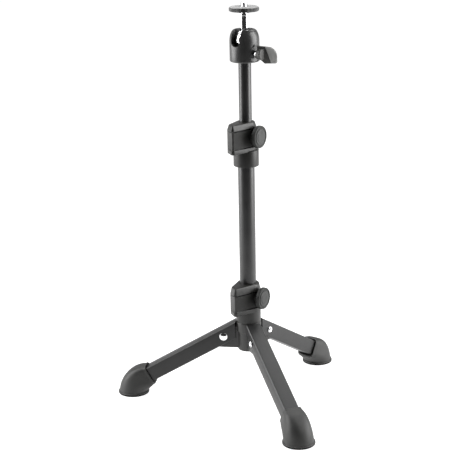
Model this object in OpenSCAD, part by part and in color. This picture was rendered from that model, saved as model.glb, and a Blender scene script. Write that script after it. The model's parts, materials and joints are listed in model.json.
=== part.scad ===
// Tabletop tripod stand: three folding legs, a two-section column with two
// screw clamps, and a mini ball head with a threaded camera stud.
// Units are millimetres. +Z is up, the feet stand on z = 0, and the front leg points along -Y.

/* [Legs] */
// Distance from the column axis to the middle of each foot
foot_reach = 117.8; // [112:0.1:124]
// Angle of an opened leg below the horizontal
leg_slope = 30.1; // [29:0.1:31]
// Outer size of the square leg tube
leg_size = 15; // [14:0.5:16]
// Wall thickness of the leg tube
leg_wall = 1.5; // [1.2:0.1:1.8]
// Distance from the column axis to a leg's pivot
pivot_reach = 24.2; // [24:0.1:25]
// Height of the leg pivots
pivot_height = 65.3; // [65:0.1:66]
// Radius of a rubber sole
sole_radius = 15.4; // [15:0.1:16]

/* [Column] */
// Outer radius of the lower tube
lower_tube_radius = 8; // [7.5:0.1:8.5]
// Outer radius of the upper tube
upper_tube_radius = 6; // [5.5:0.1:6.2]
// Wall thickness of both tubes
tube_wall = 1; // [0.8:0.1:1.2]
// Height of the top of the lower clamp
lower_clamp_top = 120.2; // [117:0.1:123]
// Height of the top of the upper clamp
upper_clamp_top = 280; // [270:0.5:285]
// Height of the bottom of the ball head
head_base_height = 336.6; // [325:0.1:345]

/* [Clamps] */
// Direction of the clamp knobs, counter-clockwise from +X
clamp_azimuth = -56; // [-60:1:-50]
// Height of a clamp block
block_height = 28; // [27:0.5:30]
// Distance from the column axis to the tip of a clamp's nose
nose_reach = 26.2; // [24:0.1:28]
// Radius of a clamp knob
knob_radius = 10.7; // [10:0.1:12]

/* [Ball head] */
// Direction of the locking lever, counter-clockwise from +X
head_azimuth = -62; // [-70:1:-55]
// Outer radius of the ball-head housing
head_radius = 14; // [14:0.1:15]
// Radius of the ball
ball_radius = 9.5; // [9.4:0.05:9.6]
// Radius of the camera stud, a quarter inch across
stud_radius = 3.175; // [3:0.005:3.2]
// Radius of the round platform
platform_radius = 14; // [13:0.5:16]

/* [Hidden] */
// Every separate piece, one node each

// Fits
running = 0.05;         // radial clearance of a shaft that turns or slides in a bore
seated = 0.02;          // clearance between pieces that stay together
gap = 0.3;              // space between faces of pieces that move past each other
cut = 1;                // how far a cutter runs past the face it opens
arc_step = 6;           // degrees between the points of an arc
$fn = 48;

// The three legs stand 120 degrees apart. The part's box is centred on the origin, so the
// column axis lies a quarter of the reach behind it.
front_azimuth = -90;
right_azimuth = 30;
left_azimuth = 150;
leg_azimuths = [front_azimuth, right_azimuth, left_azimuth];
column_y = foot_reach / 4;

// Hub
hub_bottom = 51.5;
lower_sleeve_length = 11.7;     // from the hub up to the lower clamp's block
hub_top = lower_clamp_top - block_height - lower_sleeve_length;
pillar_radius = 10.8;
collar_radius = 12.3;
collar_height = 10;
lug_thickness = 11;
lug_bottom = 53.4;
lug_end = 5.8;          // lug material beyond the pivot, inside the leg when it is folded down
socket_radius = 10;
socket_depth = 11;

// Leg details
leg_stop = collar_radius + gap;
leg_corner = 1.5;
leg_inside = leg_size - 2 * leg_wall;
leg_tail = 22;          // tube behind the pivot, before it is cut off at the stop
leg_length = 100;       // from the pivot to the tube's end inside the boot
slot_length = 12.3;     // opening of the bottom wall, measured outwards from the pivot
rivet_radius = 2;
rivet_head_radius = 3.9;
rivet_head_height = 1.2;
rivet_tail_radius = 3;
rivet_tail_height = 1.1;
rivet_tail_bore = 1.1;
rivet_tail_depth = 0.8; // how far the bore runs below the leg's side
washer_radius = 4.6;

// Boot
sole_height = 2.4;
boot_wall = 2;
boot_pocket = 0.05;
boot_mouth = 88.6;      // distance of the boot's collar from the pivot, along the leg
boot_collar_length = 6;
boot_collar_corner = 3;
sole_lip = 1.1;         // step from the sole's rim in to the dome
// The crown's sections: height, how far the middle sits back from the foot's, and radius
crown = [[8, 0.3, 13.3], [14, 1.2, 11.9], [19.5, 2.8, 9.9], [24.5, 5, 6.5]];

// Clamp block, in its own frame: the knob is at +X and the nose at -Y
lower_top_flange = 7;
upper_top_flange = 5.5;
bottom_flange = 4.3;
flange_inset = 1.1;
nose_corner = 2.5;
nose_tip = [1.4, nose_corner - nose_reach];     // centre of the corner next to the front
nose_heel = [-5.4, nose_tip.y + 5];             // centre of the corner further back
sleeve_radius = 12.15;
lower_block_radius = 12.3;
upper_block_radius = 10.2;
upper_sleeve_bottom = 237.2;
knob_height = 14.3;
lower_base = lower_clamp_top - block_height;
upper_base = upper_clamp_top - block_height;
boss_radius = 5.5;
boss_height = 1.8;
knob_gap = 0.3;
knob_thickness = 4.6;
knob_edge = 1;
cap_radius = 7.6;
cap_depth = 1;
cap_dome = 0.5;
screw_radius = 2.5;
screw_head_radius = 4.2;
screw_head_height = 1.6;
insert_radius = 3.6;
shoe_radius = 2.4;
shoe_thickness = 1.2;

// Column details
lower_tube_bottom = 56;
lower_tube_top = upper_clamp_top - block_height + 1.5;
lower_bore = lower_tube_radius - tube_wall;
upper_tube_bottom = 150;
upper_tube_top = head_base_height - 0.1;
upper_bore = upper_tube_radius - tube_wall;
plug_flange = 2;
plug_shank = 8;
guide_flange = 6;
guide_shank = 10;
spigot_shank = 14;
spigot_radius = 4;

// Ball head, in its own frame: the lever is at +X and the drop notch at -Y
head_height = 30;
shoulder_rise = 11.2;
shoulder_reach = 5;
head_edge = 1.4;
cavity_radius = ball_radius + 0.1;
ball_height = head_base_height + 19.9;
mouth_radius = 8.3;
notch_half_width = 5.1;
base_plug_height = 4.4;
seat_radius = cavity_radius - 0.2;
seat_bottom = head_base_height + base_plug_height + 0.2;
seat_top = head_base_height + 13.6;
lever_height = head_base_height + 8.1;
lever_screw_radius = 3;
spot_face_radius = 7.4;
spot_face_reach = 12.7;
pin_length = 1.2;
lever_collar_radius = 3.8;
lever_hub_start = 16.3;
lever_hub_length = 5.5;
lever_hub_radius = 5.2;
lever_hub_cover = 1;    // lever material over the screw's end
lever_lean = 40;        // how far the blade leans off the screw's axis
blade_thickness = 2.6;
grip_thickness = 3.6;

// The blade's outline: distance out along the blade, then height over the screw's axis
blade_length = 16;
blade_bottom = -8.6;
blade_toe = 2;          // corner radius at the bottom of the tip
blade_crown = 9;        // corner radius at the top of the tip
crown_level = -2.2;     // height of that corner's centre
crown_end = 82;         // where the corner meets the sloping upper edge, in degrees
blade_root_top = [-3, 8.2];
blade_root_bottom = [-1, -3.6];
blade_heel = 4.4;       // start of the level stretch of the lower edge
grip_foot = 10.4;       // the grip's inner edge at the blade's lower edge
grip_head = [4.6, 7.2];

// Stem, stud and platform
stem_radius = 4;
stem_top = 379.6;
stem_shank_radius = 3;
stem_shank_depth = 4;   // how far the shank reaches below the middle of the ball
stem_collar_radius = 4.5;
stem_collar_height = 1.8;
ball_flat = 8.6;        // height of the ball's flat above its middle
stud_bottom = 369;
stud_top = 391.8;
stud_neck_radius = 2.8; // the turned neck below the thread
stud_chamfer = 0.6;
platform_bottom = 383.2;
platform_thickness = 3.2;
platform_edge = 0.6;
pad_radius = 13.3;
pad_thickness = 0.9;
washer_outer = 4.2;
washer_thickness = 1.3;
hole_clearance = 0.1;

// ---- helpers ----

function arc(x, y, r, from, to) =
    let (steps = max(1, ceil(abs(to - from) / arc_step)))
    [for (i = [0:steps]) let (a = from + (to - from) * i / steps) [x + r * cos(a), y + r * sin(a)]];

// A rectangle with round corners, centred
function round_rectangle(w, h, r) = concat(
    arc(w / 2 - r, h / 2 - r, r, 0, 90),
    arc(-w / 2 + r, h / 2 - r, r, 90, 180),
    arc(-w / 2 + r, -h / 2 + r, r, 180, 270),
    arc(w / 2 - r, -h / 2 + r, r, 270, 360)
);

module on_column() {
    translate([0, column_y, 0]) children();
}

module toward(azimuth) {
    on_column() rotate([0, 0, azimuth]) children();
}

// A cylinder along +X from x0 to x1 at height z
module x_rod(x0, x1, r, z) {
    translate([x0, 0, z]) rotate([0, 90, 0]) cylinder(r = r, h = x1 - x0);
}

// The leg's own frame: origin at the pivot, +X down along the leg
module in_leg_frame() {
    translate([pivot_reach, 0, pivot_height]) rotate([0, leg_slope, 0]) children();
}

module bar_along_leg(from, to, w, h, r) {
    translate([from, 0, 0]) rotate([0, 90, 0]) linear_extrude(to - from) polygon(round_rectangle(h, w, r));
}

// ---- hub and legs ----

// One clevis lug, drawn in the plane of its leg
module lug() {
    outline = concat(
        [[lower_tube_radius + 1, lug_bottom], [pivot_reach + lug_end - 2, lug_bottom]],
        arc(pivot_reach + lug_end - 2, lug_bottom + 2, 2, 270, 360),
        arc(pivot_reach, pivot_height, lug_end, 0, 90 + leg_slope),
        [[lower_tube_radius + 1, pivot_height + (pivot_reach - lower_tube_radius - 1) * tan(leg_slope) + 4]]
    );
    rotate([90, 0, 0]) translate([0, 0, -lug_thickness / 2]) linear_extrude(lug_thickness) polygon(outline);
}

module hub() {
    color([0.10, 0.10, 0.10]) difference() {
        union() {
            on_column() {
                translate([0, 0, hub_bottom]) cylinder(r = pillar_radius, h = hub_top - hub_bottom);
                translate([0, 0, hub_top - collar_height]) cylinder(r = collar_radius, h = collar_height);
            }
            for (azimuth = leg_azimuths) toward(azimuth) lug();
        }
        on_column() {
            translate([0, 0, hub_bottom - cut]) cylinder(r = lower_tube_radius + running, h = hub_top);
            translate([0, 0, hub_top - socket_depth]) cylinder(r = socket_radius, h = socket_depth + cut);
        }
        for (azimuth = leg_azimuths) toward(azimuth) pivot_hole(rivet_radius);
    }
}

module pivot_hole(r) {
    translate([pivot_reach, 0, pivot_height]) rotate([90, 0, 0])
        cylinder(r = r, h = 2 * leg_size, center = true);
}

// A rivet with a domed head at +Y and a smaller, hollow tail at -Y
module rivet(azimuth) {
    head_plane = leg_size / 2 + 0.1;
    profile = concat(
        [[0, -head_plane - rivet_head_height], [1, -head_plane - rivet_head_height]],
        [[rivet_head_radius, -head_plane - 0.4], [rivet_head_radius, -head_plane]],
        [[rivet_radius, -head_plane], [rivet_radius, head_plane]],
        [[rivet_tail_radius, head_plane], [rivet_tail_radius, head_plane + 0.5]],
        [[rivet_tail_bore + 0.5, head_plane + rivet_tail_height]],
        [[rivet_tail_bore, head_plane + rivet_tail_height]],
        [[rivet_tail_bore, head_plane - rivet_tail_depth], [0, head_plane - rivet_tail_depth]]
    );
    color([0.80, 0.80, 0.80]) toward(azimuth)
        translate([pivot_reach, 0, pivot_height]) rotate([90, 0, 0]) rotate_extrude() polygon(profile);
}

// Thin washers between each lug and the walls of its leg
module pivot_washers() {
    thickness = (leg_inside - lug_thickness) / 2 - 0.1;
    color([0.85, 0.85, 0.82])
        for (azimuth = leg_azimuths, side = [-1, 1]) toward(azimuth)
            translate([pivot_reach, side * (lug_thickness + thickness) / 2, pivot_height])
                rotate([90, 0, 0]) difference() {
                    cylinder(r = washer_radius, h = thickness, center = true);
                    cylinder(r = rivet_radius + running, h = 2, center = true);
                }
}

module leg(azimuth) {
    color([0.09, 0.09, 0.09]) toward(azimuth) difference() {
        in_leg_frame() difference() {
            bar_along_leg(-leg_tail, leg_length, leg_size, leg_size, leg_corner);
            bar_along_leg(-leg_tail - cut, leg_length + cut, leg_inside, leg_inside, 0.5);
            translate([-leg_tail - cut, -leg_inside / 2, -leg_size])
                cube([leg_tail + cut + slot_length, leg_inside, leg_size - leg_inside / 2 + cut]);
        }
        translate([leg_stop - 2 * leg_size, -leg_size, 0])
            cube([2 * leg_size, 2 * leg_size, 2 * pivot_height]);
        pivot_hole(rivet_radius + running);
    }
}

// A domed rubber boot: round sole, crown and a square mouth around the leg
module boot(azimuth) {
    mouth = leg_size + 2 * boot_wall;
    slice = 0.4;
    color([0.13, 0.13, 0.13]) toward(azimuth) difference() {
        union() {
            translate([foot_reach, 0, 0]) cylinder(r = sole_radius, h = sole_height);
            hull() {
                translate([foot_reach, 0, sole_height - slice / 2])
                    cylinder(r = sole_radius - sole_lip, h = slice, $fn = 32);
                for (level = crown) translate([foot_reach - level[1], 0, level[0]])
                    cylinder(r = level[2], h = slice, $fn = 32);
                in_leg_frame() bar_along_leg(boot_mouth, boot_mouth + boot_collar_length, mouth, mouth,
                    boot_collar_corner);
            }
        }
        in_leg_frame() bar_along_leg(boot_mouth - cut, leg_length + gap,
            leg_size + 2 * boot_pocket, leg_size + 2 * boot_pocket, leg_corner);
    }
}

// ---- clamps ----

// Plan of a clamp block around a column of radius r. The front, between nose and knob, is set
// back by inset.
function block_outline(r, inset) =
    let (
        front_normal = atan2(nose_tip.y, nose_tip.x) + acos((r - nose_corner) / norm(nose_tip)),
        back_normal = 360 + atan2(nose_heel.y, nose_heel.x) - acos((r - nose_corner) / norm(nose_heel)),
        end_normal = 360 + atan2(nose_heel.x - nose_tip.x, nose_tip.y - nose_heel.y)
    )
    concat(
        arc(0, 0, r, 0, back_normal),
        arc(nose_heel.x, nose_heel.y, nose_corner, back_normal, end_normal),
        arc(nose_tip.x, nose_tip.y, nose_corner - inset, end_normal, 360 + front_normal),
        arc(0, 0, r - inset, front_normal, -arc_step)
    );

module clamp_block(r, top_flange) {
    linear_extrude(bottom_flange) polygon(block_outline(r, 0));
    translate([0, 0, bottom_flange])
        linear_extrude(block_height - top_flange - bottom_flange) polygon(block_outline(r, flange_inset));
    translate([0, 0, block_height - top_flange]) linear_extrude(top_flange) polygon(block_outline(r, 0));
    x_rod(r - 2, r + boss_height, boss_radius, knob_height);
}

// The hole for insert and screw, from the tube's bore outwards
module clamp_screw_hole(tube_r, block_r) {
    x_rod(0, block_r + boss_height + cut, screw_radius + running, knob_height);
    x_rod(tube_r + shoe_thickness + gap, block_r + boss_height + cut, insert_radius, knob_height);
}

module lower_clamp() {
    base = lower_clamp_top - block_height;
    color([0.11, 0.11, 0.11]) toward(clamp_azimuth) difference() {
        union() {
            translate([0, 0, base]) clamp_block(lower_block_radius, lower_top_flange);
            translate([0, 0, hub_top]) cylinder(r = sleeve_radius, h = base - hub_top);
            translate([0, 0, hub_top - socket_depth + 0.2])
                cylinder(r = socket_radius - running, h = socket_depth - 0.2);
        }
        translate([0, 0, hub_bottom]) cylinder(r = lower_tube_radius + running, h = lower_clamp_top);
        translate([0, 0, base]) clamp_screw_hole(lower_tube_radius, lower_block_radius);
    }
}

module upper_clamp() {
    base = upper_clamp_top - block_height;
    color([0.11, 0.11, 0.11]) toward(clamp_azimuth) difference() {
        union() {
            translate([0, 0, base]) clamp_block(upper_block_radius, upper_top_flange);
            translate([0, 0, upper_sleeve_bottom])
                cylinder(r = sleeve_radius, h = base - upper_sleeve_bottom);
        }
        translate([0, 0, base]) cylinder(r = upper_tube_radius + running, h = block_height + cut);
        translate([0, 0, upper_sleeve_bottom - cut])
            cylinder(r = lower_tube_radius + seated, h = lower_tube_top - upper_sleeve_bottom + cut);
        translate([0, 0, base]) clamp_screw_hole(upper_tube_radius, upper_block_radius);
    }
}

module threaded_insert(base, tube_r, block_r) {
    start = tube_r + shoe_thickness + gap;
    color([0.75, 0.60, 0.30]) toward(clamp_azimuth) translate([0, 0, base]) difference() {
        x_rod(start + 0.1, block_r + boss_height, insert_radius - seated, knob_height);
        x_rod(start - cut, block_r + boss_height + cut, screw_radius + running, knob_height);
    }
}

// The shoe at the screw's tip, which bears on the tube
module clamp_shoe(base, tube_r) {
    color([0.80, 0.80, 0.78]) toward(clamp_azimuth)
        translate([0, 0, base]) x_rod(tube_r + gap, tube_r + gap + shoe_thickness, shoe_radius, knob_height);
}

module clamp_screw(base, tube_r, block_r) {
    knob_start = block_r + boss_height + knob_gap;
    head_start = knob_start + knob_thickness - cap_depth - screw_head_height;
    color([0.70, 0.70, 0.70]) toward(clamp_azimuth) translate([0, 0, base]) {
        x_rod(tube_r + gap + shoe_thickness + 0.05, head_start + 0.5, screw_radius, knob_height);
        translate([head_start, 0, knob_height]) rotate([0, 90, 0])
            cylinder(r = screw_head_radius, h = screw_head_height - 0.05, $fn = 6);
    }
}

// A round knob with a recess for its cap and a seat for the screw's head
module knob(base, block_r) {
    knob_start = block_r + boss_height + knob_gap;
    knob_face = knob_start + knob_thickness;
    profile = [
        [0, 0], [knob_radius - knob_edge, 0], [knob_radius, knob_edge],
        [knob_radius, knob_thickness - knob_edge], [knob_radius - knob_edge, knob_thickness],
        [0, knob_thickness]
    ];
    color([0.14, 0.14, 0.14]) toward(clamp_azimuth) translate([0, 0, base]) difference() {
        translate([knob_start, 0, knob_height]) rotate([0, 90, 0]) rotate_extrude() polygon(profile);
        x_rod(knob_start - cut, knob_face, screw_radius + seated, knob_height);
        x_rod(knob_face - cap_depth, knob_face + cut, cap_radius, knob_height);
        translate([knob_face - cap_depth - screw_head_height, 0, knob_height]) rotate([0, 90, 0])
            cylinder(r = screw_head_radius + seated, h = screw_head_height + cut, $fn = 6);
    }
}

module knob_cap(base, block_r) {
    face = block_r + boss_height + knob_gap + knob_thickness;
    profile = [
        [0, -cap_depth], [cap_radius - seated, -cap_depth], [cap_radius - seated, 0],
        [cap_radius - 0.6, cap_dome], [0, cap_dome]
    ];
    color([0.18, 0.18, 0.18]) toward(clamp_azimuth)
        translate([face, 0, base + knob_height]) rotate([0, 90, 0]) rotate_extrude() polygon(profile);
}

// ---- column ----

module tube(r, bore, bottom, top) {
    color([0.07, 0.07, 0.07]) on_column() translate([0, 0, bottom]) difference() {
        cylinder(r = r, h = top - bottom);
        translate([0, 0, -cut]) cylinder(r = bore, h = top - bottom + 2 * cut);
    }
}

// A plug in a tube's foot, with a flange that guides it in the bore outside
module foot_plug(bottom, flange_r, flange_h, shank_r, shank_h) {
    color([0.16, 0.16, 0.16]) on_column() {
        translate([0, 0, bottom - flange_h - 0.1]) cylinder(r = flange_r, h = flange_h);
        translate([0, 0, bottom - 0.2]) cylinder(r = shank_r, h = shank_h);
    }
}

module tube_spigot() {
    color([0.70, 0.70, 0.70]) on_column() {
        translate([0, 0, upper_tube_top - spigot_shank]) cylinder(r = upper_bore - seated, h = spigot_shank);
        translate([0, 0, upper_tube_top - 0.5])
            cylinder(r = spigot_radius, h = head_base_height + base_plug_height - upper_tube_top);
    }
}

// ---- ball head ----

module head_base() {
    color([0.30, 0.30, 0.30]) on_column() translate([0, 0, head_base_height + 0.1]) difference() {
        cylinder(r = cavity_radius - seated, h = base_plug_height - 0.1);
        translate([0, 0, -cut]) cylinder(r = spigot_radius + seated, h = base_plug_height + 2 * cut);
    }
}

module head_housing() {
    shoulder = head_height - shoulder_rise;
    profile = concat(
        [[0, 0], [head_radius - head_edge, 0], [head_radius - head_edge * 0.3, head_edge * 0.3],
            [head_radius, head_edge]],
        [for (i = [0:9]) [
            head_radius - shoulder_reach + shoulder_reach * cos(i * 10),
            shoulder + shoulder_rise * sin(i * 10)
        ]],
        [[0, head_height]]
    );
    color([0.12, 0.12, 0.12]) toward(head_azimuth) difference() {
        translate([0, 0, head_base_height]) rotate_extrude() polygon(profile);
        translate([0, 0, head_base_height - cut])
            cylinder(r = cavity_radius, h = ball_height - head_base_height + cut);
        translate([0, 0, ball_height]) sphere(r = cavity_radius);
        translate([0, 0, ball_height]) cylinder(r = mouth_radius, h = head_height);
        notch();
        x_rod(0, 2 * head_radius, lever_screw_radius + running, lever_height);
        x_rod(spot_face_reach, 2 * head_radius, spot_face_radius, lever_height);
    }
}

// The drop notch, which lets the stem lie flat
module notch() {
    translate([0, 0, ball_height]) rotate([90, 0, 0]) cylinder(r = notch_half_width, h = head_height);
    translate([-notch_half_width, -head_height, ball_height])
        cube([2 * notch_half_width, head_height, head_height]);
}

// The cup under the ball, lifted by the locking screw
module ball_seat() {
    color([0.85, 0.85, 0.82]) toward(head_azimuth) difference() {
        translate([0, 0, seat_bottom]) cylinder(r = seat_radius, h = seat_top - seat_bottom);
        translate([0, 0, ball_height]) sphere(r = cavity_radius);
    }
}

module lock_pin() {
    start = seat_radius + gap;
    color([0.75, 0.60, 0.30]) toward(head_azimuth)
        x_rod(start, start + pin_length, lever_screw_radius - 0.1, lever_height);
}

module lever_screw() {
    start = seat_radius + gap + pin_length + 0.05;
    color([0.80, 0.80, 0.80]) toward(head_azimuth) {
        x_rod(start, lever_hub_start + lever_hub_length - lever_hub_cover, lever_screw_radius, lever_height);
        x_rod(spot_face_reach + gap, lever_hub_start, lever_collar_radius, lever_height);
    }
}

// The tip, which blade and grip share
function blade_tip() = concat(
    arc(blade_length - blade_toe, blade_bottom + blade_toe, blade_toe, 270, 360),
    arc(blade_length - blade_crown, crown_level, blade_crown, 0, crown_end)
);

module plate(outline, thickness) {
    rotate([90, 0, 0]) translate([0, 0, -thickness / 2]) linear_extrude(thickness) polygon(outline);
}

module lock_lever() {
    color([0.17, 0.17, 0.17]) toward(head_azimuth) difference() {
        union() {
            x_rod(lever_hub_start, lever_hub_start + lever_hub_length, lever_hub_radius, lever_height);
            translate([lever_hub_start + 2, 0, lever_height]) rotate([0, 0, lever_lean]) {
                plate(concat([blade_root_bottom, [blade_heel, blade_bottom]], blade_tip(), [blade_root_top]),
                    blade_thickness);
                plate(concat([[grip_foot, blade_bottom]], blade_tip(), [grip_head]), grip_thickness);
            }
        }
        x_rod(lever_hub_start - cut, lever_hub_start + lever_hub_length - lever_hub_cover,
            lever_screw_radius + seated, lever_height);
    }
}

module ball() {
    color([0.85, 0.85, 0.85]) on_column() translate([0, 0, ball_height]) difference() {
        sphere(r = ball_radius);
        translate([0, 0, ball_flat]) cylinder(r = ball_radius, h = ball_radius);
        translate([0, 0, -stem_shank_depth - 0.1])
            cylinder(r = stem_shank_radius + running, h = 2 * ball_radius);
    }
}

module ball_stem() {
    shoulder = ball_height + ball_flat + 0.05;
    color([0.85, 0.85, 0.85]) on_column() difference() {
        union() {
            translate([0, 0, shoulder]) cylinder(r = stem_radius, h = stem_top - shoulder);
            translate([0, 0, ball_height - stem_shank_depth])
                cylinder(r = stem_shank_radius, h = shoulder - ball_height + stem_shank_depth + 0.5);
            translate([0, 0, stem_top]) cylinder(r = stem_collar_radius, h = stem_collar_height);
        }
        translate([0, 0, stud_bottom]) cylinder(r = stud_neck_radius, h = stud_top - stud_bottom);
    }
}

module camera_stud() {
    pad_top = platform_bottom + platform_thickness + pad_thickness;
    color([0.80, 0.80, 0.80]) on_column() {
        translate([0, 0, stud_bottom]) cylinder(r = stud_neck_radius, h = pad_top - stud_bottom);
        translate([0, 0, pad_top]) cylinder(r = stud_radius, h = stud_top - stud_chamfer - pad_top);
        translate([0, 0, stud_top - stud_chamfer])
            cylinder(r1 = stud_radius, r2 = stud_radius - stud_chamfer, h = stud_chamfer);
    }
}

module ring(bottom, height, outer) {
    translate([0, 0, bottom]) difference() {
        cylinder(r = outer, h = height);
        translate([0, 0, -cut]) cylinder(r = stud_radius + hole_clearance, h = height + 2 * cut);
    }
}

module platform_washer() {
    color([0.10, 0.10, 0.10]) on_column()
        ring(platform_bottom - washer_thickness - seated, washer_thickness, washer_outer);
}

module platform() {
    hole = stud_radius + hole_clearance;
    rim = platform_radius - platform_edge;
    profile = [
        [hole, 0], [rim, 0], [platform_radius, platform_edge],
        [platform_radius, platform_thickness - platform_edge], [rim, platform_thickness],
        [hole, platform_thickness]
    ];
    color([0.10, 0.10, 0.10]) on_column()
        translate([0, 0, platform_bottom]) rotate_extrude() polygon(profile);
}

module platform_pad() {
    color([0.45, 0.45, 0.45]) on_column()
        ring(platform_bottom + platform_thickness, pad_thickness, pad_radius);
}

// ---- assembly ----

hub();
rivet(front_azimuth);  // rivet_front
rivet(right_azimuth);  // rivet_right
rivet(left_azimuth);  // rivet_left
pivot_washers();
leg(front_azimuth);  // leg_front
leg(right_azimuth);  // leg_right
leg(left_azimuth);  // leg_left
boot(front_azimuth);  // boot_front
boot(right_azimuth);  // boot_right
boot(left_azimuth);  // boot_left
lower_clamp();
threaded_insert(lower_base, lower_tube_radius, lower_block_radius);  // lower_insert
clamp_shoe(lower_base, lower_tube_radius);  // lower_shoe
clamp_screw(lower_base, lower_tube_radius, lower_block_radius);  // lower_screw
knob(lower_base, lower_block_radius);  // lower_knob
knob_cap(lower_base, lower_block_radius);  // lower_knob_cap
foot_plug(lower_tube_bottom, lower_tube_radius, plug_flange, lower_bore - running, plug_shank);  // lower_tube_plug
tube(lower_tube_radius, lower_bore, lower_tube_bottom, lower_tube_top);  // lower_tube
upper_clamp();
threaded_insert(upper_base, upper_tube_radius, upper_block_radius);  // upper_insert
clamp_shoe(upper_base, upper_tube_radius);  // upper_shoe
clamp_screw(upper_base, upper_tube_radius, upper_block_radius);  // upper_screw
knob(upper_base, upper_block_radius);  // upper_knob
knob_cap(upper_base, upper_block_radius);  // upper_knob_cap
foot_plug(upper_tube_bottom, lower_bore - running, guide_flange, upper_bore - running, guide_shank);  // upper_tube_guide
tube(upper_tube_radius, upper_bore, upper_tube_bottom, upper_tube_top);  // upper_tube
tube_spigot();
head_base();
head_housing();
ball_seat();
lock_pin();
lever_screw();
lock_lever();
ball();
ball_stem();
camera_stud();
platform_washer();
platform();
platform_pad();
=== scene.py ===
"""Looks of the tabletop tripod stand: rounded castings, tubes, rubber boots and threads built
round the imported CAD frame, with a procedural finish on every piece. Lengths are millimetres
until a mesh is made; Blender's own units are metres."""

import json
from math import acos, asin, atan2, ceil, cos, degrees, hypot, pi, radians, sin, tan

import bmesh
import bpy
from mathutils import Matrix, Vector


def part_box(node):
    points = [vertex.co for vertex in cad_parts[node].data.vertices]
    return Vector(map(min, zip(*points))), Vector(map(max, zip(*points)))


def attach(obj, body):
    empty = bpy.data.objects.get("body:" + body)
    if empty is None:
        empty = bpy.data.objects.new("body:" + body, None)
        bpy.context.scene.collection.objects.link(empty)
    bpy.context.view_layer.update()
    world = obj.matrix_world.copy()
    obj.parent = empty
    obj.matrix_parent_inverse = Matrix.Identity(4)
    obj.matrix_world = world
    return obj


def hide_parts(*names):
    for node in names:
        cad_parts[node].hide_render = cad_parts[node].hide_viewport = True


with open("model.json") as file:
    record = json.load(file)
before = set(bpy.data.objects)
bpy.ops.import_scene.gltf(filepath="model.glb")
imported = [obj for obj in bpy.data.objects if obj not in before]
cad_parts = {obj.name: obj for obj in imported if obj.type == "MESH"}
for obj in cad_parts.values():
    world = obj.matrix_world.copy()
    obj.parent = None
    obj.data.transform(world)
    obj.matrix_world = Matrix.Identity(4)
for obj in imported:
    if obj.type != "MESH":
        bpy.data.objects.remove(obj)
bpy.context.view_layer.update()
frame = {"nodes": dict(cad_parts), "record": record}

MM = 0.001


def low(node):
    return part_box(node)[0] / MM


def high(node):
    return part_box(node)[1] / MM


def middle(node):
    return (low(node) + high(node)) / 2


# ---- sizes, most of them read from the frame ----

column_y = middle("camera_stud").y

leg_azimuths = {"front": -90, "right": 30, "left": 150}
leg_slope = 30.1
leg_size = 15
leg_wall = 1.5
leg_corner = 1.5
leg_length = 100
leg_stop = 12.6  # distance of the leg's inner end from the column axis
leg_slot = 12.3  # the open stretch of the bottom wall, measured from the pivot
pivot_reach = column_y - middle("rivet_front").y
pivot_height = middle("rivet_front").z
sole_radius = (high("boot_front").x - low("boot_front").x) / 2
foot_reach = column_y - low("boot_front").y - sole_radius

boot_mouth = 88.6  # from the pivot, along the leg
boot_mouth_half = 9.5
boot_lip = 1.4  # how much thicker the mouth is below the leg
boot_shoulder = 14.3  # half the width of the dome just above the sole
sole_height = 2.4
sole_shadow_height = 1.5  # height of the painted contact shadow along the bottom of the sole

clamp_azimuth = -56
block_height = 28
top_flange = {"lower": 7, "upper": 5.5}
bottom_flange = 4.3
flange_inset = 1.1  # how far the front is set back between the flanges
groove_height = 1.1  # shadow groove under the top flange
groove_depth = 1.1
flange_lean = 1.3  # how far the top flange leans in
nose_corner = 2.5
nose_tip = (1.4, -23.7)  # centre of the nose's corner next to the front
nose_heel = (-5.4, -18.7)  # centre of its corner further back
sleeve_radius = 12.15
block_radius = {"lower": 12.3, "upper": 10.2}
block_top = {"lower": high("lower_clamp").z, "upper": high("upper_clamp").z}
knob_height = 14.3
boss_radius = 5.5
boss_height = 1.8
screw_hole = 3.6
collar_radius = 9.95  # the lower clamp's spigot in the hub
knob_gap = 0.3
knob_radius = 10.7
knob_thickness = 4.6
knob_recess = 0.5  # depth of the face that holds the cap
knob_flute = 0.18
cap_radius = 7.6
cap_fit = 0.02

tube_radius = {"lower": high("lower_tube").x, "upper": high("upper_tube").x}
tube_wall = 1
running = 0.05
driven = 0.02  # the tighter gap of parts that don't move

head_azimuth = -62
head_bottom = low("head_housing").z
head_height = high("head_housing").z - head_bottom
head_radius = 14
head_shoulder_rise = 11.2
head_shoulder_reach = 5
ball_radius = 9.5
seat_gap = 0.1
ball_height = middle("ball").z + (ball_radius - (high("ball").z - middle("ball").z))
ball_flat = 8.6
stem_root = -4  # bottom of the stem in the ball, from the ball's centre
shank_radius = 3
notch_half_width = 5.1
mouth_radius = 8.3
lever_height = middle("lock_pin").z
spot_face_reach = 12.7
spot_face_radius = 7.4

lever_rod = 3
lever_collar = 3.8
collar_start, collar_end = 13, 16.3
barrel_radius = 5.2
barrel_end = 21.8
rod_start, rod_end = 10.95, 20.8
blade_root = 18.3  # where the blade's plane crosses the screw's axis
blade_lean = 40
blade_half = 1.3
grip_half = 1.8
# where the painted light on the grip's faces begins, along the screw
grip_painted_light_start = 22.2

stud_radius = high("camera_stud").x
stud_pitch = 1.27
stud_gap = 0.1
neck_radius = 2.8
rim_teeth = 64
rim_depth = 0.25


# ---- outlines ----


def arc(x, y, radius, start, end, step=6):
    """Points of an arc, the ends included. Angles are in degrees."""
    count = max(1, ceil(abs(end - start) / step))
    angles = [radians(start + (end - start) * i / count) for i in range(count + 1)]
    return [(x + radius * cos(a), y + radius * sin(a)) for a in angles]


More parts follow.
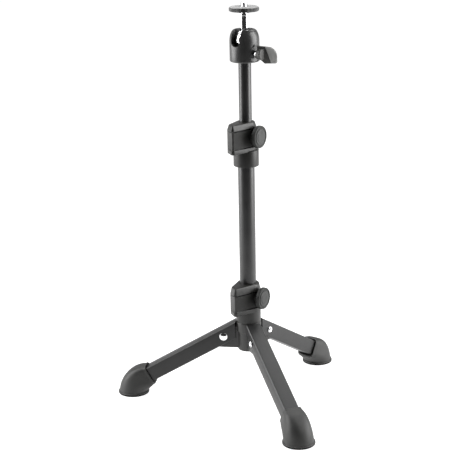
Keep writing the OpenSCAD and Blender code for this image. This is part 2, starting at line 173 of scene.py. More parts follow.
def rounded(corners, closed=False, steps=5):
    """An outline through (x, y, radius) corners, each rounded to its radius."""
    points = []
    for i, (x, y, radius) in enumerate(corners):
        if radius == 0 or (not closed and i in (0, len(corners) - 1)):
            points.append((x, y))
            continue
        corner = Vector((x, y))
        before = (Vector(corners[i - 1][:2]) - corner).normalized()
        after = (Vector(corners[(i + 1) % len(corners)][:2]) - corner).normalized()
        half = acos(max(-1, min(1, before.dot(after)))) / 2
        centre = corner + (before + after).normalized() * radius / sin(half)
        first = corner + before * radius / tan(half) - centre
        last = corner + after * radius / tan(half) - centre
        start = atan2(first.y, first.x)
        sweep = (atan2(last.y, last.x) - start + pi) % (2 * pi) - pi
        for k in range(steps + 1):
            angle = start + sweep * k / steps
            points.append((centre.x + radius * cos(angle), centre.y + radius * sin(angle)))
    return points


def inward(outline, distance):
    """A counter-clockwise outline moved inwards."""
    moved = []
    for i, point in enumerate(outline):
        here = Vector(point)
        along = (here - Vector(outline[i - 1])).normalized()
        onward = (Vector(outline[(i + 1) % len(outline)]) - here).normalized()
        normal = Vector((-along.y - onward.y, along.x + onward.x)).normalized()
        stretch = max(0.5, normal.dot(Vector((-along.y, along.x))))
        moved.append(tuple(here + normal * distance / stretch))
    return moved


def edge_rounding(radius):
    """(inset, rise) pairs round an edge, from the flat face to the side."""
    steps = 4
    turns = [radians(90 * k / steps) for k in range(steps + 1)]
    return [(radius * (1 - sin(a)), radius * (1 - cos(a))) for a in turns]


# ---- meshes, in millimetres ----


def skin(rings, loop=False):
    """A surface through rings of points that have equal counts. A ring of one point is a tip.
    A loop joins the last ring to the first. Otherwise both ends are closed."""
    bm = bmesh.new()
    rows = [[bm.verts.new(p) for p in ring] for ring in rings]
    count = max(len(row) for row in rows)
    for lower, upper in zip(rows, rows[1:] + (rows[:1] if loop else [])):
        for k in range(count):
            quad = [lower[k % len(lower)], lower[(k + 1) % len(lower)]]
            quad += [upper[(k + 1) % len(upper)], upper[k % len(upper)]]
            corners = list(dict.fromkeys(quad))
            if len(corners) > 2:
                bm.faces.new(corners)
    if not loop:
        for row in (rows[0], rows[-1]):
            if len(row) > 2:
                bm.faces.new(row)
    bmesh.ops.recalc_face_normals(bm, faces=bm.faces)
    return bm


def lathe(profile, segments=96, loop=False, shape=None):
    """(radius, height) points turned about Z. shape(radius, height, angle) may vary the radius."""
    rings = []
    for radius, height in profile:
        if radius < 1e-6:
            rings.append([(0, 0, height)])
            continue
        ring = []
        for k in range(segments):
            angle = 2 * pi * k / segments
            r = shape(radius, height, angle) if shape else radius
            ring.append((r * cos(angle), r * sin(angle), height))
        rings.append(ring)
    return skin(rings, loop=loop)


def cylinder(radius, bottom, top, edge=0.0, segments=96):
    """A cylinder about Z with rounded rims."""
    corners = [(0, bottom, 0), (radius, bottom, edge), (radius, top, edge), (0, top, 0)]
    return lathe(rounded(corners), segments)


def slab(outline, bottom, top, edge):
    """A flat plate with rounded rims."""
    rounding = edge_rounding(edge)
    rings = [(bottom + rise, inset) for inset, rise in rounding]
    rings += [(top - rise, inset) for inset, rise in reversed(rounding)]
    return skin([[(x, y, z) for x, y in inward(outline, inset)] for z, inset in rings])


def placed(bm, matrix):
    bm.transform(matrix)
    return bm


def turned_to_x(x, z):
    """The frame that lays a lathe's axis along +X at height z."""
    return Matrix.Translation((x, 0, z)) @ Matrix.Rotation(radians(90), 4, "Y")


def combine(operation, first, *others):
    """Union or difference of closed meshes."""
    collection = bpy.context.scene.collection
    for other in others:
        pair = []
        for bm in (first, other):
            mesh = bpy.data.meshes.new("work")
            bm.to_mesh(mesh)
            bm.free()
            pair.append(bpy.data.objects.new("work", mesh))
            collection.objects.link(pair[-1])
        modifier = pair[0].modifiers.new("combine", "BOOLEAN")
        modifier.operation = operation
        modifier.solver = "EXACT"
        modifier.object = pair[1]
        bpy.context.view_layer.update()
        first = bmesh.new()
        first.from_object(pair[0], bpy.context.evaluated_depsgraph_get())
        for o in pair:
            bpy.data.objects.remove(o)
    return first


def softened(bm, width):
    """The mesh with its sharp edges rounded."""
    sharp = 40
    mesh = bpy.data.meshes.new("work")
    bmesh.ops.dissolve_limit(bm, angle_limit=radians(0.5), verts=bm.verts, edges=bm.edges)
    bmesh.ops.remove_doubles(bm, verts=bm.verts, dist=0.002)
    bm.to_mesh(mesh)
    bm.free()
    o = bpy.data.objects.new("work", mesh)
    bpy.context.scene.collection.objects.link(o)
    bevel = o.modifiers.new("edge", "BEVEL")
    bevel.width = width
    bevel.segments = 3
    bevel.limit_method = "ANGLE"
    bevel.angle_limit = radians(sharp)
    bpy.context.view_layer.update()
    made = bmesh.new()
    made.from_object(o, bpy.context.evaluated_depsgraph_get())
    bpy.data.objects.remove(o)
    return made


# ---- finishes ----

grain_depth = 0.05 * MM  # how high the grain of every finish stands


def finish(slot, colour, roughness, metallic=0.0, spread=0.25, mottle=60, grain=1500,
           bump=0.1, specular=0.5):
    """A surface whose shade and gloss vary slowly (mottle) and whose grain stands up as a bump."""
    material = bpy.data.materials.new(slot)
    material.use_nodes = True
    nodes, links = material.node_tree.nodes, material.node_tree.links
    shader = nodes["Principled BSDF"]
    shader.inputs["Metallic"].default_value = metallic
    shader.inputs["Specular IOR Level"].default_value = specular
    place = nodes.new("ShaderNodeTexCoord")

    def noise(scale, detail):
        node = nodes.new("ShaderNodeTexNoise")
        node.inputs["Scale"].default_value = scale
        node.inputs["Detail"].default_value = detail
        links.new(place.outputs["Object"], node.inputs["Vector"])
        return node.outputs["Fac"]

    slow = noise(mottle, 4)
    fine = noise(grain, 3)

    lowest, highest = 0.3, 0.7  # the noise between which shade and gloss vary
    shade = nodes.new("ShaderNodeValToRGB")
    shade.color_ramp.elements[0].position = lowest
    shade.color_ramp.elements[1].position = highest
    shade.color_ramp.elements[0].color = [c * (1 - spread) for c in colour] + [1]
    shade.color_ramp.elements[1].color = [min(1, c * (1 + spread)) for c in colour] + [1]
    links.new(slow, shade.inputs["Fac"])
    links.new(shade.outputs["Color"], shader.inputs["Base Color"])

    gloss = nodes.new("ShaderNodeMapRange")
    gloss.inputs["From Min"].default_value = lowest
    gloss.inputs["From Max"].default_value = highest
    gloss.inputs["To Min"].default_value = roughness * 0.85
    gloss.inputs["To Max"].default_value = min(1, roughness * 1.15)
    links.new(fine, gloss.inputs["Value"])
    links.new(gloss.outputs["Result"], shader.inputs["Roughness"])

    relief = nodes.new("ShaderNodeBump")
    relief.inputs["Strength"].default_value = bump
    relief.inputs["Distance"].default_value = grain_depth
    links.new(fine, relief.inputs["Height"])
    links.new(relief.outputs["Normal"], shader.inputs["Normal"])
    return material


finishes = {  # one for each material slot of the frame
    "leg_enamel": finish("leg_enamel", (0.010, 0.010, 0.010), 0.38, bump=0.2, grain=900,
                         specular=0.41),
    "hub_casting": finish("hub_casting", (0.015, 0.015, 0.014), 0.42, bump=0.35, grain=1600),
    "boot_rubber": finish("boot_rubber", (0.020, 0.020, 0.019), 0.52, bump=0.5, grain=2200,
                          specular=0.4),
    "clamp_plastic": finish("clamp_plastic", (0.010, 0.010, 0.009), 0.38, bump=0.35, grain=2000,
                            specular=0.4),
    "knob_plastic": finish("knob_plastic", (0.013, 0.014, 0.013), 0.42, bump=0.3, grain=2400,
                           specular=0.26),
    "cap_plastic": finish("cap_plastic", (0.02, 0.021, 0.02), 0.42, bump=0.3, grain=2400,
                          specular=0.36),
    "column_tube": finish("column_tube", (0.019, 0.019, 0.019), 0.32, bump=0.12, grain=1200),
    "head_body": finish("head_body", (0.026, 0.026, 0.026), 0.32, bump=0.15, grain=1400),
    "lever_plastic": finish("lever_plastic", (0.038, 0.038, 0.036), 0.55, bump=0.6, grain=2600),
    "bright_metal": finish("bright_metal", (0.86, 0.86, 0.87), 0.1, metallic=1, spread=0.04,
                           bump=0.03, grain=1800),
    "steel": finish("steel", (0.52, 0.52, 0.52), 0.3, metallic=1, bump=0.15),
    "brass": finish("brass", (0.72, 0.52, 0.25), 0.28, metallic=1, spread=0.1, bump=0.1),
    "nylon": finish("nylon", (0.66, 0.65, 0.60), 0.5, spread=0.06, bump=0.2),
    "black_plastic": finish("black_plastic", (0.020, 0.020, 0.020), 0.45, bump=0.3),
    "platform_metal": finish("platform_metal", (0.007, 0.007, 0.007), 0.32, bump=0.15),
    "pad_rubber": finish("pad_rubber", (0.24, 0.24, 0.24), 0.5, bump=0.6, grain=2600),
}
# the second surface of a few pieces
# near-black, dull rubber: a painted contact shadow along the bottom of each sole
sole_painted_shadow = finish("sole_painted_shadow", (0.002, 0.002, 0.002), 0.8, bump=0.5, grain=2200,
                     specular=0.04)
matte_plastic = finish("matte_plastic", (0.010, 0.010, 0.009), 0.6, bump=0.6, grain=1500,
                       specular=0.3)
# a lighter copy of the lever's plastic: painted light on the grip's faces
lever_grip_painted_light = finish("lever_grip_painted_light", (0.26, 0.26, 0.255), 0.55, bump=0.8, grain=2600)

slot_of = {part["node"]: part["material_slot"] for part in frame["record"]["subparts"]}
body_of = {n: body for body, nodes in frame["record"]["behaviour"]["bodies"].items() for n in nodes}

for name, node in frame["nodes"].items():
    node.data.materials.clear()
    node.data.materials.append(finishes[slot_of[name]])


def piece(node, bm, place=Matrix(), smooth=35):
    """Puts a finished mesh in the scene in a CAD node's stead. place is a frame in millimetres."""
    bm.transform(Matrix.Scale(MM, 4) @ place)
    bmesh.ops.recalc_face_normals(bm, faces=bm.faces)
    mesh = bpy.data.meshes.new(node + "_look")
    bm.to_mesh(mesh)
    bm.free()
    mesh.shade_smooth()
    mesh.set_sharp_from_angle(angle=radians(smooth))
    mesh.materials.append(finishes[slot_of[node]])
    o = bpy.data.objects.new(node + "_look", mesh)
    bpy.context.scene.collection.objects.link(o)
    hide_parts(node)
    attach(o, body_of[node])
    return o


on_column = Matrix.Translation((0, column_y, 0))


def toward(azimuth):
    return on_column @ Matrix.Rotation(radians(azimuth), 4, "Z")


def down_leg(azimuth):
    """A leg's own frame: the pivot is its origin and +X runs down the leg."""
    pivot = Matrix.Translation((pivot_reach, 0, pivot_height))
    return toward(azimuth) @ pivot @ Matrix.Rotation(radians(leg_slope), 4, "Y")


# ---- hub and legs ----


def lug():
    """One clevis lug in its leg's plane: x outwards, z up. Its root is inside the sleeve."""
    root, half_width, tip_radius, toe = 9, 5.5, 5.8, 2
    toe_x = pivot_reach + tip_radius - toe
    low_edge = low("hub").z + 1.9
    outline = [(root, low_edge), (toe_x, low_edge)]
    outline += arc(toe_x, low_edge + toe, toe, 270, 360)[1:]
    outline += arc(pivot_reach, pivot_height, tip_radius, 0, 90 + leg_slope)
    outline += [(root, pivot_height + (pivot_reach - root) * tan(radians(leg_slope)) + 4)]
    plate = slab(outline, -half_width, half_width, 0.8)
    return placed(plate, Matrix.Rotation(radians(90), 4, "X"))


def hub():
    """The sleeve round the lower tube, with a cup for the lower clamp, and its three lugs."""
    bottom, top = low("hub").z, high("hub").z
    bore = tube_radius["lower"] + running
    pillar_radius, cup_radius, cup_bore = 10.8, 12.3, 10
    cup, socket = top - 10, top - 11
    shell = lathe(rounded([
        (bore, bottom, 0.3), (pillar_radius, bottom, 0.8), (pillar_radius, cup, 0),
        (cup_radius, cup, 0.7), (cup_radius, top, 0.5), (cup_bore, top, 0),
        (cup_bore, socket, 0), (bore, socket, 0),
    ], closed=True), loop=True)
    lugs = [placed(lug(), Matrix.Rotation(radians(a), 4, "Z")) for a in leg_azimuths.values()]
    return combine("UNION", shell, *lugs)


def rivet():
    """A rivet along Y through the leg: a domed head at +Y and a rolled, hollow tail at -Y."""
    face = leg_size / 2 + 0.1
    shank, hole, hole_depth = 2, 1.1, 0.8
    rim, height, dome_edge, dome_radius = 3.9, 1.2, 3.4, 6.9
    roll_middle, roll = 2.4, 0.6
    side = degrees(asin(dome_edge / dome_radius))
    dome = arc(0, face + height - dome_radius, dome_radius, 90, 90 - side)
    profile = [(r, -z) for r, z in dome]
    profile += [(rim, -face - 0.25), (rim, -face), (shank, -face), (shank, face)]
    profile += arc(roll_middle, face + 0.5, roll, -60, 120, step=20)
    profile += [(hole, face + 0.6), (hole, face - hole_depth), (0, face - hole_depth)]
    return placed(lathe(profile, 48), Matrix.Rotation(radians(90), 4, "X"))


def leg_tube():
    """A square tube along +X. Its inner end is cut upright, clear of the column."""
    inner = leg_size / 2 - leg_wall
    outer_outline = rounded_square(leg_size / 2, leg_corner)
    inner_outline = rounded_square(inner, 0.5)
    slope = radians(leg_slope)

    def start(z):
        return (leg_stop - pivot_reach - z * sin(slope)) / cos(slope)

    tube = skin([
        [(start(z), y, z) for y, z in outer_outline],
        [(leg_length, y, z) for y, z in outer_outline],
        [(leg_length, y, z) for y, z in inner_outline],
        [(start(z), y, z) for y, z in inner_outline],
    ], loop=True)
    past_end = -2 * leg_size
    slot = [(past_end, -inner), (leg_slot, -inner), (leg_slot, inner), (past_end, inner)]
    return combine("DIFFERENCE", tube, slab(slot, -leg_size, 1 - inner, 0))


def rounded_square(half, corner):
    corners = [(half, half), (-half, half), (-half, -half), (half, -half)]
    return rounded([(x, y, corner) for x, y in corners], closed=True, steps=6)


def boot():
    """Leg plane: x outwards from the column, z up. The dome is swung from the sole up to the
    square mouth about the line where their planes meet. Material 1 is a painted shadow on the
    sole's edge."""
    slope = radians(leg_slope)
    mouth_x = pivot_reach + boot_mouth * cos(slope)
    mouth_z = pivot_height - boot_mouth * sin(slope)
    swing_x = mouth_x - (mouth_z - sole_height) * tan(slope)
    swing = pi / 2 - slope
    sole_inner = foot_reach - sole_radius - swing_x
    mouth_middle = (mouth_z - sole_height) / sin(swing)
    count = 72

    def section(turn, near, far, half_width, power):
        """A ring in the plane swung by turn, as a superellipse between near and far."""
        ring = []
        for k in range(count):
            angle = 2 * pi * k / count
            c, s = cos(angle), sin(angle)
            scale = (abs(c) ** power + abs(s) ** power) ** (-1 / power)
            reach = (near + far) / 2 + (far - near) / 2 * c * scale
            x, z = swing_x + reach * cos(turn), sole_height + reach * sin(turn)
            ring.append((x, half_width * s * scale, z))
        return ring

    def flat(radius, z):
        """A level ring of the sole."""
        return [(foot_reach + radius * cos(2 * pi * k / count),
                 radius * sin(2 * pi * k / count), z) for k in range(count)]

    rings = [flat(r, z) for r, z in (
        (8.5, 1.2), (9.2, 1.0), (9.6, 0.3), (10, 0), (14.8, 0), (15.25, 0.2), (sole_radius, 0.6),
        (sole_radius, sole_shadow_height), (sole_radius, 1.8), (15.25, 2.2), (14.9, 2.4), (14.45, 2.55),
    )]
    rim = 1.1  # the sole stands out from the dome by this
    near = sole_inner + rim
    far = near + 2 * (sole_radius - rim)
    near_end = mouth_middle - boot_mouth_half - boot_lip
    dome_rings = 14
    for k in range(1, dome_rings + 1):
        share = k / dome_rings
        turn = swing * share
        # the underside follows the straight line from the sole to the mouth
        underside = near * near_end * sin(swing) / (near * sin(turn) + near_end * sin(swing - turn))
        crown = far + (mouth_middle + boot_mouth_half - far) * share ** 1.6
        half_width = boot_shoulder + (boot_mouth_half - boot_shoulder) * share ** 1.3
        rings.append(section(turn, underside, crown, half_width, 2 + 3.5 * share ** 2))
    back = Vector((-cos(slope), 0, sin(slope)))

    def lip(ahead, half, power, under=0.0):
        """A ring parallel to the mouth, ahead of it towards the pivot. It is deeper below the
        leg by under."""
        ring = section(swing, mouth_middle - half - under, mouth_middle + half, half, power)
        return [tuple(Vector(p) + back * ahead) for p in ring]

    half, bore_half, bore_power = boot_mouth_half, leg_size / 2 + 0.15, 12
    rings += [lip(0.7, half + 0.15, 5.5, boot_lip), lip(1.2, half, 5.5, boot_lip)]
    rings += [lip(1.5, half - 0.4, 6, boot_lip), lip(1.4, half - 0.8, 7, boot_lip / 2)]
    rings += [lip(0.6, half - 1.1, 8), lip(-2.5, bore_half, bore_power)]
    rings += [lip(boot_mouth - leg_length - 0.3, bore_half, bore_power)]
    solid = skin(rings)
    # faces below this height get the painted contact shadow
    for face in solid.faces:
        if face.calc_center_median().z < sole_shadow_height:
            face.material_index = 1
    return solid


piece("hub", hub(), on_column)
for side, azimuth in leg_azimuths.items():
    at_pivot = toward(azimuth) @ Matrix.Translation((pivot_reach, 0, pivot_height))
    piece("rivet_" + side, rivet(), at_pivot)
    piece("leg_" + side, leg_tube(), down_leg(azimuth))
    rubber_foot = piece("boot_" + side, boot(), toward(azimuth), smooth=50)
    # the boot's material 1: the painted contact shadow along the sole
    rubber_foot.data.materials.append(sole_painted_shadow)


# ---- clamps ----


def front_angle(radius):
    """Where a clamp's front looks, between the nose and the knob."""
    slack = radius - nose_corner
    return degrees(atan2(nose_tip[1], nose_tip[0]) + acos(slack / hypot(*nose_tip)))


def block_outline(radius, inset):
    """Plan of a clamp: round the column, with a nose at -Y. The front between the nose and the
    knob at +X is set back by inset."""
    slack = radius - nose_corner
    front = front_angle(radius)
    back = 360 + degrees(atan2(nose_heel[1], nose_heel[0]) - acos(slack / hypot(*nose_heel)))
    end = 360 + degrees(atan2(nose_heel[0] - nose_tip[0], nose_tip[1] - nose_heel[1]))
    outline = arc(0, 0, radius, 0, back)
    outline += arc(*nose_heel, nose_corner, back, end)
    outline += arc(*nose_tip, nose_corner - inset, end, 360 + front)
    return outline + arc(0, 0, radius - inset, front, -4)


def clamp(which):
    """A clamp's body. Its recessed front has material 1."""
    radius = block_radius[which]
    top = block_top[which]
    base = top - block_height
    bottom = low(which + "_clamp").z
    edge = 0.3
    ledge = edge_rounding(edge)
    # height above the base, set-back of the front, inset all round
    levels = [(rise, 0, inset) for inset, rise in edge_rounding(0.8)]
    levels += [(bottom_flange - rise, inset, 0) for inset, rise in reversed(ledge)]
    levels += [(bottom_flange, flange_inset - edge, 0), (bottom_flange + edge, flange_inset, 0)]
    recess_top = block_height - top_flange[which]
    levels += [(recess_top - groove_height - 0.2, flange_inset, 0)]
    levels += [(recess_top - groove_height, flange_inset + groove_depth, 0)]
    levels += [(recess_top, flange_inset + groove_depth, 0)]
    levels += [(recess_top + rise, inset, 0) for inset, rise in ledge]
    levels += [(block_height - rise, 0, flange_lean + inset)
               for inset, rise in reversed(edge_rounding(1.5))]
    block = skin([
        [(x, y, base + z) for x, y in inward(block_outline(radius, inset), d)]
        for z, inset, d in levels
    ])
    boss = placed(cylinder(boss_radius, radius - 2, radius + boss_height, 0.4, 64),
                  turned_to_x(0, base + knob_height))
    sleeve_bottom = bottom if which == "upper" else high("hub").z
    sleeve = cylinder(sleeve_radius, sleeve_bottom, base + 1, 0.5)
    solid = combine("UNION", block, boss, sleeve)
    if which == "lower":
        solid = combine("UNION", solid, cylinder(collar_radius, bottom, sleeve_bottom + 1))
        cuts = [cylinder(tube_radius["lower"] + running, bottom - 1, top + 1)]
    else:
        cuts = [cylinder(tube_radius["upper"] + running, base, top + 1),
                cylinder(tube_radius["lower"] + driven, bottom - 1, high("lower_tube").z)]
    screw = cylinder(screw_hole, tube_radius[which] + 1.5, radius + boss_height + 1, segments=48)
    cuts.append(placed(screw, turned_to_x(0, base + knob_height)))
    solid = combine("DIFFERENCE", solid, *cuts)
    solid.normal_update()
    front = radians(front_angle(radius))
    outwards = Vector((cos(front), sin(front), 0))
    for face in solid.faces:
        level = face.calc_center_median().z - base
        if bottom_flange < level < recess_top and face.normal.dot(outwards) > 0.97:
            face.material_index = 1
    return solid


def knob():
    """A round knob on the screw, with a rim bead and a fluted edge. The face looks along +Z."""
    flutes = 40
    bore, head_bore = 2.52, 4.22  # for the screw and its head

    def fluted(radius, height, angle):
        depth = knob_flute if radius > knob_radius - 0.35 else 0
        return radius - depth * (0.5 - 0.5 * cos(flutes * angle))

    top = knob_thickness
    face, cap_floor, head_floor = top - knob_recess, top - 1, top - 2.6
    profile = rounded([
        (bore, 0, 0), (knob_radius - 1.6, 0, 0.3), (knob_radius, 1.0, 0.8),
        (knob_radius, top, 0.9), (9.2, top, 0.5), (8.8, face, 0.3),
        (cap_radius, face, 0), (cap_radius, cap_floor, 0), (head_bore, cap_floor, 0),
        (head_bore, head_floor, 0), (bore, head_floor, 0),
    ], closed=True)
    return lathe(profile, flutes * 8, loop=True, shape=fluted)


def knob_cap():
    """A plain cap with a raised, slightly dished middle. Height 0 is the knob's outer face."""
    rim, raised = 0.1, 0.5
    profile = rounded([
        (0, -1, 0), (cap_radius - cap_fit, -1, 0), (cap_radius - cap_fit, rim, 0.35),
        (5.6, rim, 0.4), (5.2, raised, 0.4), (3.2, raised, 2), (0, raised - 0.2, 0),
    ])
    return lathe(profile)


at_clamp = toward(clamp_azimuth)
for which in ("lower", "upper"):
    base = block_top[which] - block_height
    knob_start = block_radius[which] + boss_height + knob_gap
    clamp_body = piece(which + "_clamp", clamp(which), at_clamp)
    clamp_body.data.materials.append(matte_plastic)
    piece(which + "_knob", knob(), at_clamp @ turned_to_x(knob_start, base + knob_height))
    face = at_clamp @ turned_to_x(knob_start + knob_thickness, base + knob_height)
    piece(which + "_knob_cap", knob_cap(), face)


# ---- column ----


def tube(which):
    """One of the column's tubes, as long and as wide as its CAD."""
    radius = tube_radius[which]
    bore = radius - tube_wall
    bottom, top = low(which + "_tube").z, high(which + "_tube").z
    corners = [(bore, bottom, 0.2), (radius, bottom, 0.4), (radius, top, 0.4), (bore, top, 0.2)]
    return lathe(rounded(corners, closed=True), 128, loop=True)


for which in ("lower", "upper"):
    piece(which + "_tube", tube(which), on_column)


# ---- ball head ----


def head_housing():
    """The housing with its cup, drop notch and lever bore. Height 0 is its lower face."""
    shoulder = head_height - head_shoulder_rise
    profile = [(0, 0)] + rounded([(0, 0, 0), (head_radius, 0, 1.4), (head_radius, 5, 0)])[1:]
    profile += [(head_radius - head_shoulder_reach * (1 - cos(radians(a))),
                 shoulder + head_shoulder_rise * sin(radians(a))) for a in range(0, 91, 6)]
    profile.append((0, head_height))
    solid = lathe(profile, 128)
    cavity = ball_radius + seat_gap
    ball_z = ball_height - head_bottom
    mouth_angle = degrees(acos(mouth_radius / cavity))
    cup = [(0, -1), (cavity, -1)] + arc(0, ball_z, cavity, 0, mouth_angle, step=5)
    cup += [(mouth_radius, ball_z + 12), (0, ball_z + 12)]
    clear = 30  # well outside the housing
    channel = arc(0, 0, notch_half_width, 180, 360)
    channel += [(notch_half_width, 20), (-notch_half_width, 20)]
    notch = placed(slab(channel, 0, clear, 0),
                   Matrix.Translation((0, 0, ball_z)) @ Matrix.Rotation(radians(90), 4, "X"))
    at_lever = turned_to_x(0, lever_height - head_bottom)
    bore = placed(cylinder(lever_rod + running, 0, clear, segments=48), at_lever)
    spot = placed(cylinder(spot_face_radius, spot_face_reach, clear, segments=64), at_lever)
    return softened(combine("DIFFERENCE", solid, lathe(cup), notch, bore, spot), 0.3)


def lever_screw():
    """A rod with a collar. Height is measured from the head's axis."""
    corners = [(0, rod_start, 0), (lever_rod, rod_start, 0.3), (lever_rod, collar_start, 0),
               (lever_collar, collar_start, 0.3), (lever_collar, collar_end, 0.3),
               (lever_rod, collar_end, 0), (lever_rod, rod_end, 0), (0, rod_end, 0)]
    return lathe(rounded(corners), 64)


def lever():
    """The paddle leans off the screw's axis. Its blade carries a thicker grip at the tip, and
    the grip's faces have material 1, a lighter copy of the plastic that paints light on them."""
    length, bottom, toe, crown = 16, -8.6, 2, 9  # toe and crown are the radii of its tip
    tip = arc(length - toe, bottom + toe, toe, 270, 360)
    tip += arc(length - crown, -2.2, crown, 0, 82)
    blade = slab([(-1, -3.6), (4.4, bottom)] + tip + [(-3, 8.2)], -blade_half, blade_half, 0.7)
    grip = slab([(10.4, bottom)] + tip + [(4.6, 7.2)], -grip_half, grip_half, 0.8)
    lean = Matrix.Rotation(radians(blade_lean), 4, "Z")
    upright = Matrix.Rotation(radians(90), 4, "X")
    at_blade = Matrix.Translation((blade_root, 0, 0)) @ lean @ upright
    barrel = placed(cylinder(barrel_radius, collar_end, barrel_end, 0.9, 64), turned_to_x(0, 0))
    solid = combine("UNION", barrel, placed(blade, at_blade), placed(grip, at_blade))
    socket = cylinder(lever_rod + driven, collar_end - 0.3, rod_end, segments=48)
    solid = combine("DIFFERENCE", solid, placed(socket, turned_to_x(0, 0)))
    to_blade = at_blade.inverted()
    # the grip's faces beyond the start of the painted light get material 1
    for face in solid.faces:
        centre = face.calc_center_median()
        if abs((to_blade @ centre).z) > blade_half + 0.05 and centre.x > grip_painted_light_start:
            face.material_index = 1
    return solid


def ball():
    """The ball with a flat on top and a bore for the stem, about its own centre."""
    flat = degrees(asin(ball_flat / ball_radius))
    bore, bore_end = shank_radius + running, stem_root - 0.1
    profile = [(0, -ball_radius)] + arc(0, 0, ball_radius, -90, flat, step=3)[1:]
    profile += [(3.3, ball_flat), (bore, ball_flat - 0.3), (bore, bore_end), (0, bore_end)]
    return lathe(profile)


def ball_stem():
    """A shank in the ball, a thicker stem above it, and a collar that holds the stud."""
    root = ball_height + stem_root
    shoulder = ball_height + ball_flat + running
    top, stud_end = high("ball_stem").z, low("camera_stud").z
    collar = top - 1.8
    corners = [(0, root, 0), (shank_radius, root, 0.3), (shank_radius, shoulder, 0),
               (4, shoulder, 0.4), (4, collar, 0.6), (4.5, collar, 0.3), (4.5, top, 0.4),
               (neck_radius, top, 0), (neck_radius, stud_end, 0), (0, stud_end, 0)]
    return lathe(rounded(corners), 64)


def camera_stud():
    """A quarter inch screw: a plain neck below the pad and a vee thread above it."""
    bottom, top = low("camera_stud").z, high("camera_stud").z
    thread_start = high("platform_pad").z
    depth = 0.6 * stud_pitch

    def vee(radius, height, angle):
        turn = (height / stud_pitch - angle / (2 * pi)) % 1
        fade = min(1, max(0, (height - thread_start) / 0.4))
        return radius - depth * fade * abs(2 * turn - 1) ** 1.3

    steps, tip_chamfer = 44, 0.6
    profile = [(0, bottom), (neck_radius, bottom), (neck_radius, thread_start - 0.02)]
    for k in range(steps + 1):
        height = thread_start + (top - thread_start) * k / steps
        chamfer = max(0, height - (top - tip_chamfer))
        profile.append((stud_radius - chamfer, height))
    profile.append((0, top))
    return lathe(profile, 64, shape=lambda r, z, a: vee(r, z, a) if z >= thread_start else r)


def platform():
    """A round platform with a knurled rim."""
    bottom, top = low("platform").z, high("platform").z
    radius = high("platform").x
    hole = stud_radius + stud_gap

    def knurled(r, height, angle):
        depth = rim_depth if r > radius - 0.2 else 0
        return r - depth * (0.5 - 0.5 * cos(rim_teeth * angle))

    profile = rounded([
        (hole, bottom, 0), (radius - 0.7, bottom, 0.3), (radius, bottom + 0.6, 0.3),
        (radius, top, 0.4), (hole, top, 0),
    ], closed=True)
    return lathe(profile, rim_teeth * 8, loop=True, shape=knurled)


def washer_ring(node):
    """A flat ring round the stud, as high and as wide as the node's CAD."""
    bottom, top, outer = low(node).z, high(node).z, high(node).x
    hole, edge = stud_radius + stud_gap, 0.4
    corners = [(hole, bottom, 0), (outer, bottom, edge), (outer, top, edge), (hole, top, 0)]
    return lathe(rounded(corners, closed=True), loop=True)


at_head = toward(head_azimuth)
piece("head_housing", head_housing(), at_head @ Matrix.Translation((0, 0, head_bottom)))
piece("lever_screw", placed(lever_screw(), turned_to_x(0, lever_height)), at_head)
lock_lever = piece("lock_lever", lever(), at_head @ Matrix.Translation((0, 0, lever_height)))
# the lever's material 1: painted light on the grip's faces
lock_lever.data.materials.append(lever_grip_painted_light)
piece("ball", ball(), on_column @ Matrix.Translation((0, 0, ball_height)))
piece("ball_stem", ball_stem(), on_column)
piece("camera_stud", camera_stud(), on_column, smooth=50)
piece("platform", platform(), on_column, smooth=45)
piece("platform_washer", washer_ring("platform_washer"), on_column)
piece("platform_pad", washer_ring("platform_pad"), on_column)


# ---- studio ----

camera_azimuth = -112.2  # where the camera stands, seen from the column
camera_distance = 1264
camera_height = 548.3
camera_heading, camera_dip, camera_roll = -21.234, 16.313, -1.135

aim_height = 180  # what the lights face
floor_near, floor_far, floor_side = 0.5, -8, 8  # metres from the column
floor_drop = 0.0002  # keeps the floor's surface out of the soles
floor_glow = 0.9
room_behind, room_ahead = 0.42, 0.03  # strength of the room's light, seen from the column
room_from, room_to = -0.2, 0.7  # cosines towards the camera between which it changes

column = Vector((0, column_y, 0))


def around(azimuth, distance, height):
    angle = radians(azimuth)
    return (column + Vector((distance * cos(angle), distance * sin(angle), height))) * MM


camera = bpy.data.objects.new("camera", bpy.data.cameras.new("camera"))
camera.data.lens = 109.53
camera.data.sensor_width = 36
camera.data.clip_start = 0.05
camera.location = around(camera_azimuth, camera_distance, camera_height)
camera.matrix_world = (
    Matrix.Translation(camera.location)
    @ Matrix.Rotation(radians(camera_heading), 4, "Z")
    @ Matrix.Rotation(radians(90 - camera_dip), 4, "X")
    @ Matrix.Rotation(radians(camera_roll), 4, "Z")
)
bpy.context.scene.collection.objects.link(camera)
bpy.context.scene.camera = camera


def softbox(name, azimuth, distance, height, width, tall, power):
    """An area light that faces the middle of the stand. azimuth is counted from the camera's,
    distance and height are in millimetres, width and tall in metres."""
    light = bpy.data.lights.new(name, "AREA")
    light.shape = "RECTANGLE"
    light.size, light.size_y = width, tall
    light.energy = power
    o = bpy.data.objects.new(name, light)
    o.location = around(camera_azimuth + azimuth, distance, height)
    aim = around(0, 0, aim_height) - o.location
    o.rotation_euler = aim.to_track_quat("-Z", "Y").to_euler()
    bpy.context.scene.collection.objects.link(o)


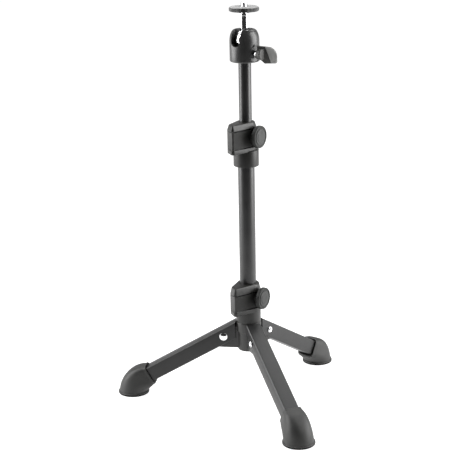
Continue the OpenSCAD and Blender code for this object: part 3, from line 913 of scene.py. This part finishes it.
softbox("left", -92, 1100, 600, 0.8, 1.5, 27)
softbox("right", 86, 1100, 520, 0.9, 1.5, 32)
softbox("above", 180, 500, 1300, 1.4, 1.0, 14)

paper = finish("floor_paper", (0.34, 0.34, 0.34), 0.7, spread=0.01, mottle=3, grain=400,
               bump=0.05)
glow = paper.node_tree.nodes["Principled BSDF"].inputs
glow["Emission Color"].default_value = (1, 1, 1, 1)
glow["Emission Strength"].default_value = floor_glow
floor = bpy.data.meshes.new("floor")
floor.from_pydata([(floor_far, -floor_side, 0), (floor_near, -floor_side, 0),
                   (floor_near, floor_side, 0), (floor_far, floor_side, 0)], [], [(0, 1, 2, 3)])
floor.materials.append(paper)
floor_object = bpy.data.objects.new("floor", floor)
floor_object.location = column * MM - Vector((0, 0, floor_drop))
floor_object.rotation_euler.z = radians(camera_azimuth)  # its short end is the camera's
bpy.context.scene.collection.objects.link(floor_object)

world = bpy.data.worlds.new("studio")
bpy.context.scene.world = world
world.use_nodes = True
nodes, links = world.node_tree.nodes, world.node_tree.links
background = nodes["Background"]
direction = nodes.new("ShaderNodeTexCoord")
facing = nodes.new("ShaderNodeVectorMath")
facing.operation = "DOT_PRODUCT"
angle = radians(camera_azimuth)
facing.inputs[1].default_value = (cos(angle), sin(angle), 0)
links.new(direction.outputs["Generated"], facing.inputs[0])
room = nodes.new("ShaderNodeMapRange")
room.inputs["From Min"].default_value = room_from
room.inputs["From Max"].default_value = room_to
room.inputs["To Min"].default_value = room_behind
room.inputs["To Max"].default_value = room_ahead
links.new(facing.outputs["Value"], room.inputs["Value"])
ray = nodes.new("ShaderNodeLightPath")
seen = nodes.new("ShaderNodeMix")
seen.data_type = "FLOAT"
links.new(ray.outputs["Is Camera Ray"], seen.inputs["Factor"])
links.new(room.outputs["Result"], seen.inputs["A"])
seen.inputs["B"].default_value = 1.0
links.new(seen.outputs["Result"], background.inputs["Strength"])
background.inputs["Color"].default_value = (1, 1, 1, 1)
bpy.context.scene.view_settings.view_transform = "Standard"
